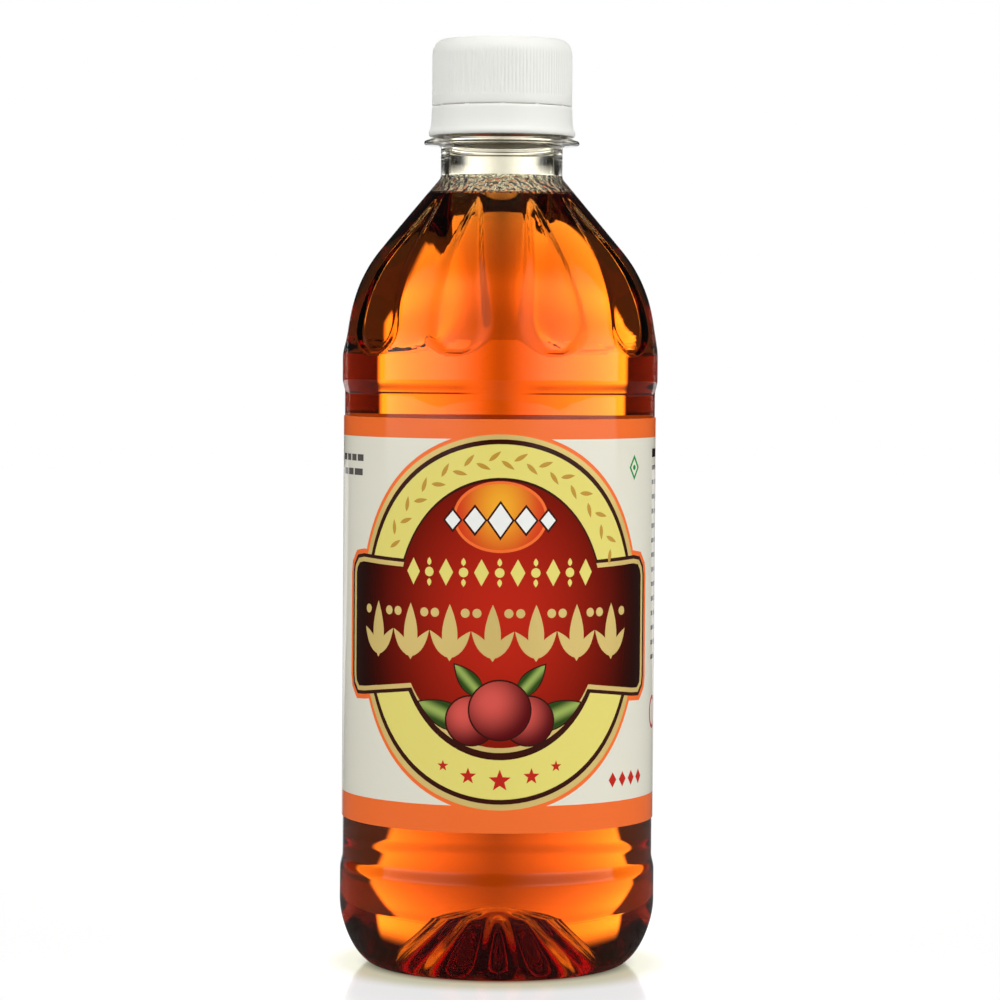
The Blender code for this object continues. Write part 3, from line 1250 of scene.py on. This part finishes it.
@dataclass
class Label:
    """Printed film wrapped round the body: flat design, wrapped and closed.

    Its ends lap at the seam, where a step as high as the lap shows.
    """

    low: float = 31.9
    top: float = 117.4
    radius: float = 33.42
    thick: float = 0.13
    column: float = 1.4
    seam: float = -97.0
    seam_step: float = 0.08
    lap: float = 0.07
    lap_run: float = 7.0
    border_low: float = 37.5
    border_top: float = 113.3
    shapes: list[Shape] = field(default_factory=list)

    @property
    def end(self) -> float:
        """Half the way round, where the flat film's two ends meet."""
        return math.pi * self.radius

    def ink(self, ink: Ink, outline: np.ndarray, centre: Row = (0.0, 0.0),
            reach: Row = (1.0, 1.0), turn: float = 0.0) -> None:
        """Lays one field of ink on top of the last ones."""
        self.shapes.append(Shape(ink, outline, centre, reach, math.radians(turn)))

    def banner(self) -> np.ndarray:
        """Outline of the banner that flares towards its rounded ends.

        Returns:
            Its points, anticlockwise.
        """
        right = [(16.2, 59.4), (18.2, 62.6), (33.4, 60.9), (35.6, 60.8), (36.7, 61.9),
                 (37.0, 63.2), (37.0, 84.2), (36.7, 85.6), (35.6, 86.8), (33.6, 87.1),
                 (20.0, 86.5)]
        return np.array(right + [(-s, z) for s, z in right[::-1]])

    def draw_medallion(self) -> None:
        """Draws the outlined oval ring, the banner across it and their maroon middle."""
        core, c = self.banner(), 0.4
        self.ink(Ink.ORANGE, oval(c, 75.5, 35.4, 39.6, 120))
        self.ink(Ink.ORANGE, grown(core, 2.7))
        self.ink(Ink.GOLD, oval(c, 75.5, 34.6, 38.8, 120))
        self.ink(Ink.DARK, oval(c, 75.6, 33.3, 37.7, 120))
        self.ink(Ink.PALE_YELLOW, oval(c, 75.6, 32.3, 36.7, 120))
        self.ink(Ink.DARK, oval(c, 76.25, 23.7, 29.15, 96))
        self.ink(Ink.DARK, grown(core, 1.7))
        self.ink(Ink.GOLD, oval(c, 76.5, 22.9, 27.9, 96))
        self.ink(Ink.GOLD, grown(core, 0.95))
        for outline in (core, oval(c, 77.2, 23.07, 27.6, 96)):
            self.ink(Ink.MAROON, outline, (c, 76.0), (37.5, 37.5))

    def draw_ornament(self) -> None:
        """Draws generic ornament: a sprigged arc, an oval badge and two rows of motifs."""
        for i, deg in enumerate(np.linspace(-64.0, 64.0, 25)):
            a = math.radians(deg)
            s, z = 0.4 + 28.1 * math.sin(a), 76.0 + 32.9 * math.cos(a)
            lean = 34.0 if i % 2 else -34.0
            self.ink(Ink.BRONZE, blade(s, z, 3.3, 0.95, -deg + lean, 6))
        self.ink(Ink.ORANGE, oval(0.3, 97.3, 9.9, 7.4, 56))
        self.ink(Ink.SUNSET, oval(0.3, 97.3, 9.3, 6.8, 56), (0.3, 99.5), (10.0, 10.0))
        for ds, rs, rz in ((-10, 1.6, 1.9), (-5.3, 2.1, 2.6), (0, 2.4, 3.4), (5.3, 2.1, 2.6),
                           (10, 1.6, 1.9)):
            self.ink(Ink.DARK, lozenge(0.3 + ds, 96.6, rs + 0.5, rz + 0.7))
            self.ink(Ink.CLEAR_WHITE, lozenge(0.3 + ds, 96.6, rs, rz))
        for k in range(11):
            s = -18.6 + k * 3.76
            if k % 2:
                self.ink(Ink.PALE_YELLOW, oval(s, 85.8, 1.0, 1.0, 16))
                for foot, turn in ((87.1, 90.0), (84.5, -90.0)):
                    self.ink(Ink.PALE_YELLOW, blade(s, foot, 1.7, 1.0, turn, 5))
            else:
                self.ink(Ink.PALE_YELLOW, lozenge(s, 85.8, 1.55, 2.8))
        for k in range(7):
            s = -28.3 + k * 9.05
            self.ink(Ink.GOLD, blade(s, 67.4, 11.8, 3.4, 90.0, 11))
            for lean in (52.0, 128.0):
                self.ink(Ink.GOLD, blade(s, 68.0, 7.2, 2.3, lean, 9))
            for side in (-1.0, 1.0):
                self.ink(Ink.GOLD, oval(s + side * 3.3, 77.4, 0.95, 0.95, 16))

    def draw_fruit(self) -> None:
        """Draws a plain bunch of three round fruits between four leaves."""
        slim, flat, leaf_line, fruit_line = 0.42, 0.96, 0.5, 0.35
        for s, z, size, turn in ((-5.5, 54.0, 12.5, 158.0), (6.3, 54.0, 12.5, 22.0),
                                 (-3.0, 60.0, 9.0, 132.0), (3.8, 60.0, 9.0, 48.0)):
            a = math.radians(turn)
            middle = (s + size / 2 * math.cos(a), z + size / 2 * math.sin(a))
            self.ink(Ink.DARK, blade(s, z, size + leaf_line, size * slim + leaf_line, turn, 13))
            self.ink(Ink.LEAF, blade(s, z, size, size * slim, turn, 13), middle,
                     (size / 2, size * slim / 2), turn)
        for s, z, r in ((-5.6, 55.2, 5.2), (6.4, 55.2, 5.2), (0.4, 57.4, 6.3)):
            self.ink(Ink.DARK, oval(s, z, r + fruit_line, r * flat + fruit_line, 40))
            self.ink(Ink.FRUIT, oval(s, z, r, r * flat, 40), (s, z), (r, r))

    def draw_stars(self) -> None:
        """Draws the row of stars at the foot of the medallion."""
        for s, z, r in ((-11.5, 45.7, 1.25), (-6.1, 43.7, 1.8), (0.5, 42.8, 2.4),
                        (7.1, 43.7, 1.8), (12.4, 45.7, 1.25)):
            self.ink(Ink.RED, star(s, z, r))

    def draw_small(self) -> None:
        """Draws the small marks and short rows of plain bars at the sides."""
        self.ink(Ink.GREEN, lozenge(33.7, 107.2, 1.9, 2.7))
        self.ink(Ink.WHITE, lozenge(33.7, 107.2, 1.25, 1.8))
        self.ink(Ink.GREEN, oval(33.7, 107.2, 0.55, 0.55, 14))
        for k in range(4):
            self.ink(Ink.RED, lozenge(26.9 + k * 3.2, 42.0, 1.2, 1.6))
        for z, ends in ((108.8, (-47.0, -43.1, -40.0, -36.9, -33.6)),
                        (105.8, (-46.0, -42.2, -38.5, -33.9))):
            for a, b in zip(ends, ends[1:]):
                self.ink(Ink.GREY, bar(a, b - 0.6, z - 0.7, z + 0.7))
        self.ink(Ink.RED, oval(46.2, 54.8, 3.0, 3.6, 32))
        self.ink(Ink.WHITE, oval(46.2, 54.8, 2.2, 2.8, 32))

    def draw_back(self) -> None:
        """Fills the panel at the back with rows of plain bars."""
        line, space, head_half, bar_half = 3.1, 0.7, 0.9, 0.5
        # over a reach as wide as the label, these bars take the deep end of their ink's tone
        deep = (99, 99)
        for block, (left, right, high, rows) in enumerate((
                (44.0, 66.0, 110.0, 15), (71.0, 94.0, 110.0, 9), (71.0, 94.0, 72.0, 9),
                (-68.0, -50.0, 100.0, 14), (-94.0, -72.0, 110.0, 6), (-94.0, -72.0, 60.0, 6))):
            head = bar(left, right - 5.0, high - head_half, high + head_half)
            self.ink(Ink.MAROON, head, (0, 0), deep)
            for row in range(1, rows):
                s, z = left, high - row * line
                for word in range(9):
                    # sizes follow from the counts alone, so each run gives the same bars
                    size = 1.6 + 3.4 * ((block * 31 + row * 17 + word * 29) % 11) / 10.0
                    if s + size > right:
                        break
                    self.ink(Ink.GREY, bar(s, s + size, z - bar_half, z + bar_half))
                    s += size + space
        self.ink(Ink.ORANGE, bar(-95.0, -71.0, 64.5, 90.0))
        self.ink(Ink.WHITE, bar(-94.4, -71.6, 65.1, 89.4))
        for row in range(5):
            self.ink(Ink.ORANGE, bar(-94.4, -71.6, 69.5 + row * 4.2, 69.8 + row * 4.2))
        self.ink(Ink.MAROON, bar(-94.4, -71.6, 86.8, 89.4), (0, 0), deep)

    def draw(self) -> None:
        """Draws the whole flat design, bottom layer first."""
        ends = (-self.end - 1, self.end + 1)
        self.ink(Ink.WHITE, bar(*ends, self.low - 1, self.top + 1))
        self.ink(Ink.ORANGE, bar(*ends, self.border_top, self.top + 1))
        self.ink(Ink.ORANGE, bar(*ends, self.low - 1, self.border_low))
        self.draw_small()
        self.draw_back()
        self.draw_medallion()
        self.draw_ornament()
        self.draw_fruit()
        self.draw_stars()

    def lines(self) -> tuple[list[Row], list[tuple[int, int]]]:
        """Gathers every line that the film is cut along.

        Returns:
            The points, and the pairs of points that the lines join.
        """
        end = self.end
        points: list[Row] = []
        edges: list[tuple[int, int]] = []

        def line(row: Sequence[Sequence[float]], closed: bool) -> None:
            """Adds a chain of points.

            Args:
                row: its points.
                closed: True where the last point joins the first.
            """
            first = len(points)
            points.extend((float(s), float(z)) for s, z in row)
            last = len(points) - 1
            edges.extend((i, i + 1) for i in range(first, last))
            if closed:
                edges.append((last, first))

        line([(-end, self.low), (end, self.low), (end, self.top), (-end, self.top)], True)
        count = int(round(2 * end / self.column))
        columns = np.linspace(-end, end, count + 1)[1:-1]
        for s in (*columns, self.seam, self.seam - self.seam_step):
            line([(s, self.low), (s, self.top)], False)
        for shape in self.shapes:
            held = shape.outline.copy()
            held[:, 0] = held[:, 0].clip(-end, end)
            held[:, 1] = held[:, 1].clip(self.low, self.top)
            line(held, True)
        return points, edges

    def cut(self) -> tuple[np.ndarray, np.ndarray, np.ndarray]:
        """Cuts the flat film along every outline.

        Returns:
            The points, the triangles and the topmost shape of each triangle.
        """
        weld, sliver = 1e-4, 1e-9
        points, edges = self.lines()
        made = delaunay_2d_cdt([Vector(p) for p in points], edges, [], 0, weld, False)
        flat = np.array([tuple(p) for p in made[0]])
        faces = np.array([tuple(f) for f in made[2]], int)
        a, b, c = (flat[faces[:, i]] for i in range(3))
        area = (b[:, 0] - a[:, 0]) * (c[:, 1] - a[:, 1]) - (b[:, 1] - a[:, 1]) * (c[:, 0] - a[:, 0])
        faces[area < 0] = faces[area < 0][:, ::-1]
        faces = faces[np.abs(area) > sliver]
        middle = flat[faces].mean(1)
        top = np.zeros(len(faces), int)
        for k, shape in enumerate(self.shapes):
            top[shape.holds(middle)] = k
        return flat, faces, top

    def wrap(self, flat: np.ndarray) -> tuple[np.ndarray, np.ndarray]:
        """Wraps the flat points round the body.

        Args:
            flat: the flat points.

        Returns:
            The outer skin's points and then the inner one's, in metres, and each flat point's
            place in the outer skin.
        """
        s, z = flat.T
        # the two ends of the flat film are one line on the bottle
        at_start, at_end = (np.nonzero(near)[0] for near in (s < -self.end + SNAP,
                                                             s > self.end - SNAP))
        match: dict[float, int] = {round(float(z[i]), 3): i for i in at_start}
        same = np.arange(len(flat))
        for i in at_end:
            same[i] = match.get(round(float(z[i]), 3), i)
        used = np.unique(same)
        place_of = np.full(len(flat), -1)
        place_of[used] = np.arange(len(used))
        lap = self.lap * np.clip((s + self.end) / self.lap_run, 0, 1)
        lap = np.where(s < self.seam - self.seam_step / 2, lap, 0.0)
        turn = s / self.radius + math.radians(FRONT)
        skins = [np.stack([r * np.cos(turn), r * np.sin(turn), z], 1)[used] * MM
                 for r in (self.radius + lap, np.full(len(flat), self.radius - self.thick))]
        return np.concatenate(skins), place_of[same]

    def build(self) -> bpy.types.Object:
        """Wraps the cut film round the body and closes it.

        Returns:
            The finished piece, with one material for each ink.
        """
        self.draw()
        flat, faces, top = self.cut()
        points, index = self.wrap(flat)
        count = len(points) // 2
        outer = index[faces]
        inner = outer[:, ::-1] + count
        rim, rim_ink = self.rim(flat, faces, index, top, count)
        mesh = bpy.data.meshes.new("film")
        mesh.from_pydata(points.tolist(), [], outer.tolist() + inner.tolist() + rim)
        for kind in Ink:
            mesh.materials.append(INKS[kind].make())
        outer_ink = [self.shapes[k].ink.value for k in top]
        ink = outer_ink + [Ink.UNDERSIDE.value] * len(inner) + rim_ink
        mesh.polygons.foreach_set("material_index", ink)
        self.map_motifs(mesh, flat, faces, top)
        mesh.shade_smooth()
        self.even_normals(mesh, len(outer), len(inner))
        mesh.update()
        piece = bpy.data.objects.new("printed_label", mesh)
        bpy.context.scene.collection.objects.link(piece)
        return piece

    def rim(self, flat: np.ndarray, faces: np.ndarray, index: np.ndarray, top: np.ndarray,
            count: int) -> tuple[list[tuple[int, ...]], list[int]]:
        """Closes the film's two cut edges.

        Args:
            flat: the flat points.
            faces: the flat triangles.
            index: each flat point's place in the wrapped mesh.
            top: each triangle's topmost shape.
            count: how many points the outer skin has.

        Returns:
            The edge's faces and their inks.
        """
        quads, inks = [], []
        for level in (self.low, self.top):
            on = np.abs(flat[:, 1] - level) < SNAP
            for k, face in enumerate(faces):
                for i in range(3):
                    a, b = face[i], face[(i + 1) % 3]
                    if on[a] and on[b]:
                        p, q = int(index[a]), int(index[b])
                        quads.append((q, p, p + count, q + count))
                        inks.append(self.shapes[top[k]].ink.value)
        return quads, inks

    def map_motifs(self, mesh: bpy.types.Mesh, flat: np.ndarray, faces: np.ndarray,
                   top: np.ndarray) -> None:
        """Gives each ink its motif's own coordinates.

        Args:
            mesh: the wrapped film, outer triangles first.
            flat: the flat points.
            faces: the flat triangles.
            top: each triangle's topmost shape.
        """
        local = np.zeros((len(faces), 3, 2))
        for k, shape in enumerate(self.shapes):
            mine = top == k
            if mine.any():
                local[mine] = shape.local(flat[faces[mine]].reshape(-1, 2)).reshape(-1, 3, 2)
        layer = mesh.uv_layers.new(name="motif")
        values = np.zeros((len(mesh.loops), 2))
        values[:len(faces) * 3] = local.reshape(-1, 2)
        layer.data.foreach_set("uv", values.ravel())

    def even_normals(self, mesh: bpy.types.Mesh, outer: int, inner: int) -> None:
        """Makes the film shade as one true round, whatever its triangles.

        Args:
            mesh: the wrapped film.
            outer: how many outer triangles it has.
            inner: how many inner ones.
        """
        loops = np.empty(len(mesh.loops), int)
        mesh.loops.foreach_get("vertex_index", loops)
        points = np.empty(len(mesh.vertices) * 3)
        mesh.vertices.foreach_get("co", points)
        corners = points.reshape(-1, 3)[loops]
        normals = corners * (1.0, 1.0, 0.0)
        normals /= np.linalg.norm(normals, axis=1)[:, None]
        first, second = outer * 3, (outer + inner) * 3
        normals[first:second] *= -1.0
        middle = (self.low + self.top) / 2 * MM
        normals[second:] = 0.0
        normals[second:, 2] = np.sign(corners[second:, 2] - middle)
        mesh.normals_split_custom_set(normals.tolist())


@dataclass(frozen=True)
class Softbox:
    """A tall light beside the camera: a crisp side, and a far side that fades.

    Each side is two angles round the bottle in degrees, dark and lit.
    """

    crisp: Row
    fading: Row
    power: float

    def light(self, turn: Field) -> Field:
        """Gives its light at an angle round the bottle."""
        return turn.step(*self.crisp) * turn.step(*self.fading) * self.power


@dataclass(frozen=True)
class LitAcrylic(Finish):
    """Lit white acrylic: an even white ground that mirrors the foot of the bottle dimly.

    Each row is two distances from the axis in millimetres, where a change starts and ends.
    """

    name: str = "lit white acrylic"
    colour: str = "484848"
    roughness: float = 0.12
    ior: float = 1.49
    # the mirror blurs away from the bottle
    blurred: Row = (48.0, 90.0)
    blur: float = 0.5
    # the lit sector widens with distance, from its near edges to its far ones in degrees
    widening: Row = (250.0, 1300.0)
    near_edges: Row = (-22.5, 17.5)
    far_edges: Row = (-31.0, 26.5)
    side_gain: float = 0.017
    gain: float = 0.76
    # what lights the bottle is dimmer far off, in a ring round it, and close by
    dimmer: Row = (600.0, 1400.0)
    dimmer_by: float = 0.32
    ring_in: Row = (150.0, 260.0)
    ring_out: Row = (750.0, 450.0)
    ring_by: float = 0.36
    rising: Row = (-70.0, 230.0)
    box_share: float = 0.06
    mirrored_less: float = 0.85
    least: float = 0.01
    # the white that the eye sees, a little stronger away from the bottle's foot
    white: float = 0.76
    whiter: Row = (45.0, 80.0)
    whiter_by: float = 0.1
    # painted shadow under the foot, and round it a painted warm tint that stands in for the amber
    # light the bottle passes on
    shaded: Row = (24.0, 31.0)
    painted_tint_ring: Row = (31.0, 42.0)
    painted_tint: str = "D6D3B6"

    def make(self, studio: Studio) -> bpy.types.Material:
        """Builds the material.

        Args:
            studio: the studio, whose light the sheet carries on.

        Returns:
            The material, glowing by its distance and angle from the bottle.
        """
        material, tree, shader = self.start()
        x, y, _ = fields(tree, add(tree, "ShaderNodeTexCoord").outputs["Object"])
        across = away(x, y) * PER_M
        far = across.step(*self.widening)
        edges = [far * (end - start) + start for start, end in zip(self.near_edges, self.far_edges)]
        turn, wide, boxes = studio.sectors(x, y, *edges)
        seen, _, mirrored = rays(tree)
        lit = wide * (turn.math("ABSOLUTE") * self.side_gain + self.gain)
        lit = lit.less(self.dimmer_by, across.step(*self.dimmer)) + boxes * self.box_share
        lit = lit.less(self.ring_by, across.step(*self.ring_in) * across.step(*self.ring_out))
        lit = (lit * across.step(*self.rising)).less(self.mirrored_less, mirrored) + self.least
        white = across.step(*self.whiter) * self.whiter_by + self.white
        # the painted shadow darkens the sheet's glow under the foot, for every ray
        glow = (lit + (white - lit) * seen) * across.step(*self.shaded)
        # the painted tint colours the glow in a ring round the foot
        painted_tint = add(tree, "ShaderNodeMix", {"data_type": "RGBA"},
                   {"Factor": across.step(*self.painted_tint_ring), "A": linear(self.painted_tint),
                    "B": linear("FFFFFF")})
        rough = across.step(*self.blurred) * self.blur + self.roughness
        tree.links.new(rough.out, shader.inputs["Roughness"])
        tree.links.new(painted_tint.outputs["Result"], shader.inputs["Emission Color"])
        tree.links.new(glow.out, shader.inputs["Emission Strength"])
        return material


@dataclass
class Studio:
    """White ground, two tall front softboxes, a bright backdrop and the photograph's camera.

    Angles are in degrees. A turn is round the bottle with 0 behind it, and a rise is above the
    floor. A row is where a change starts and where it is full, but for the backdrop's two sides.
    """

    distance: float = 805.9
    eye: float = 133.7
    pitch: float = 2.437
    roll: float = 0.41
    lens: float = 135.4
    sensor: float = 36.0
    side: float = 0.15
    floor_half: float = 3.0
    # the backdrop's sides, how soft they are, and how it brightens towards them
    backdrop: Row = (-30.7, 28.2)
    backdrop_soft: float = 1.3
    gain_from: float = 1.5
    gain_power: float = 0.31
    gain: float = 0.56
    gain_least: float = 0.4
    backdrop_top: Row = (60.0, 45.0)
    # walls mirror only a narrow strip of it
    strip: Row = (11.0, 8.0)
    # what the heel bends upwards falls on the dark edge above the backdrop's foot
    gap_rise: Row = (1.6, 8.0)
    gap_turn: Row = (3.0, 8.0)
    left_box: Softbox = Softbox((-86.0, -90.0), (-174.0, -135.0), 2.8)
    right_box: Softbox = Softbox((83.0, 87.0), (178.0, 135.0), 3.1)
    box_top: Row = (60.0, 42.0)
    box_through_less: float = 0.3
    # steps and flutes mirror the boxes at a rise, and are kept from a veil of light
    box_mirrored_less: float = 0.74
    veil_rise: Row = (5.0, 14.0)
    veil_less: float = 0.2
    roof_rise: Row = (60.0, 80.0)
    roof_power: float = 0.45
    roof_through_less: float = 0.8
    roof_mirrored_less: float = 0.95
    room_light: float = 0.02

    def camera(self) -> None:
        """Sets the camera at the photograph's angle."""
        data = bpy.data.cameras.new("camera")
        data.lens, data.sensor_width = self.lens, self.sensor
        data.clip_start, data.clip_end = 0.01, 50.0
        camera = bpy.data.objects.new("camera", data)
        stand = Matrix.Translation((self.side * MM, -self.distance * MM, self.eye * MM))
        tilt = Matrix.Rotation(math.radians(90.0 - self.pitch), 4, "X")
        camera.matrix_world = stand @ tilt @ Matrix.Rotation(math.radians(self.roll), 4, "Z")
        bpy.context.scene.collection.objects.link(camera)
        bpy.context.scene.camera = camera

    def sectors(self, x: Field, y: Field, low: Number,
                high: Number) -> tuple[Field, Field, Field]:
        """Shares the studio's light out by its angle round the bottle, 0 behind it.

        Args:
            x: the direction or place along X.
            y: the same along Y.
            low: the angle at which the bright backdrop starts.
            high: the angle at which it ends.

        Returns:
            The angle, the backdrop's light and the softboxes' light.
        """
        soft = self.backdrop_soft
        turn = x.math("ARCTAN2", y) * DEGREES
        wide = turn.step(low - soft, low + soft) * turn.step(high + soft, high - soft)
        gain = (turn * turn + self.gain_from) ** self.gain_power * self.gain + self.gain_least
        return turn, wide * gain, self.left_box.light(turn) + self.right_box.light(turn)

    def world(self) -> None:
        """Lights the studio by direction: backdrop, softboxes, roof and dim corners."""
        world = bpy.data.worlds.new("studio")
        world.use_nodes = True
        bpy.context.scene.world = world
        tree = world.node_tree
        tree.nodes.clear()
        x, y, z = fields(tree, add(tree, "ShaderNodeTexCoord").outputs["Generated"])
        seen, through, mirrored = rays(tree)
        rise = z.math("ARCSINE") * DEGREES
        turn, wide, boxes = self.sectors(x, y, *self.backdrop)
        aside = turn.math("ABSOLUTE")
        strip = aside.step(*self.strip)
        back = (wide + (strip - wide) * mirrored) * rise.step(*self.backdrop_top)
        gap = rise.step(*self.gap_rise) * aside.step(*self.gap_turn)
        back = back.less(1.0, gap * through)
        boxes = (boxes * rise.step(*self.box_top)).less(self.box_through_less, through)
        veil = rise.step(*self.veil_rise) * self.veil_less + self.box_mirrored_less
        boxes = boxes.less(1.0, mirrored * veil)
        roof = rise.step(*self.roof_rise).less(self.roof_through_less, through)
        roof = roof.less(self.roof_mirrored_less, mirrored) * self.roof_power
        power = back + boxes + roof + self.room_light
        room, paper = (add(tree, "ShaderNodeBackground", None,
                           {"Color": linear("FFFFFF"), "Strength": strength})
                       for strength in (power, 1.0))
        mix = add(tree, "ShaderNodeMixShader", None,
                  {0: seen, 1: room.outputs[0], 2: paper.outputs[0]})
        add(tree, "ShaderNodeOutputWorld", None, {"Surface": mix.outputs[0]})

    def floor(self) -> None:
        """Lays the sheet of lit acrylic."""
        half = self.floor_half
        mesh = bpy.data.meshes.new("floor")
        mesh.from_pydata([(-half, -half, 0), (half, -half, 0), (half, half, 0), (-half, half, 0)],
                         [], [(0, 1, 2, 3)])
        mesh.materials.append(LitAcrylic().make(self))
        floor = bpy.data.objects.new("floor", mesh)
        bpy.context.scene.collection.objects.link(floor)

    def film(self) -> None:
        """Sets how deep light is followed through the clear walls."""
        scene = bpy.context.scene
        scene.view_settings.view_transform = "Standard"
        scene.view_settings.look = "None"
        for key, value in {
            "max_bounces": 32, "transmission_bounces": 32, "glossy_bounces": 16,
            "diffuse_bounces": 4, "volume_bounces": 0, "sample_clamp_indirect": 6.0,
            "blur_glossy": 0.3, "use_denoising": True,
        }.items():
            setattr(scene.cycles, key, value)

    def build(self) -> None:
        """Builds the whole studio."""
        self.camera()
        self.world()
        self.floor()
        self.film()


def main() -> None:
    """Builds every piece in order, hands it to the frame and lights the studio."""
    logging.basicConfig(level=logging.INFO, format="%(name)s: %(message)s")
    white = MouldedPolypropylene().make()
    bottle, band = Bottle(), TamperBand()
    hand_over(bottle.build(), "bottle")
    hand_over(Vinegar(bottle).build(AmberVinegar().make()), "vinegar")
    hand_over(Cap().build(white), "cap")
    hand_over(band.build(white), "tamper_band")
    hand_over(band.build_bridges(white), "tamper_band")
    hand_over(Label().build(), "label")
    Studio().build()


if __name__ == "__main__":
    main()
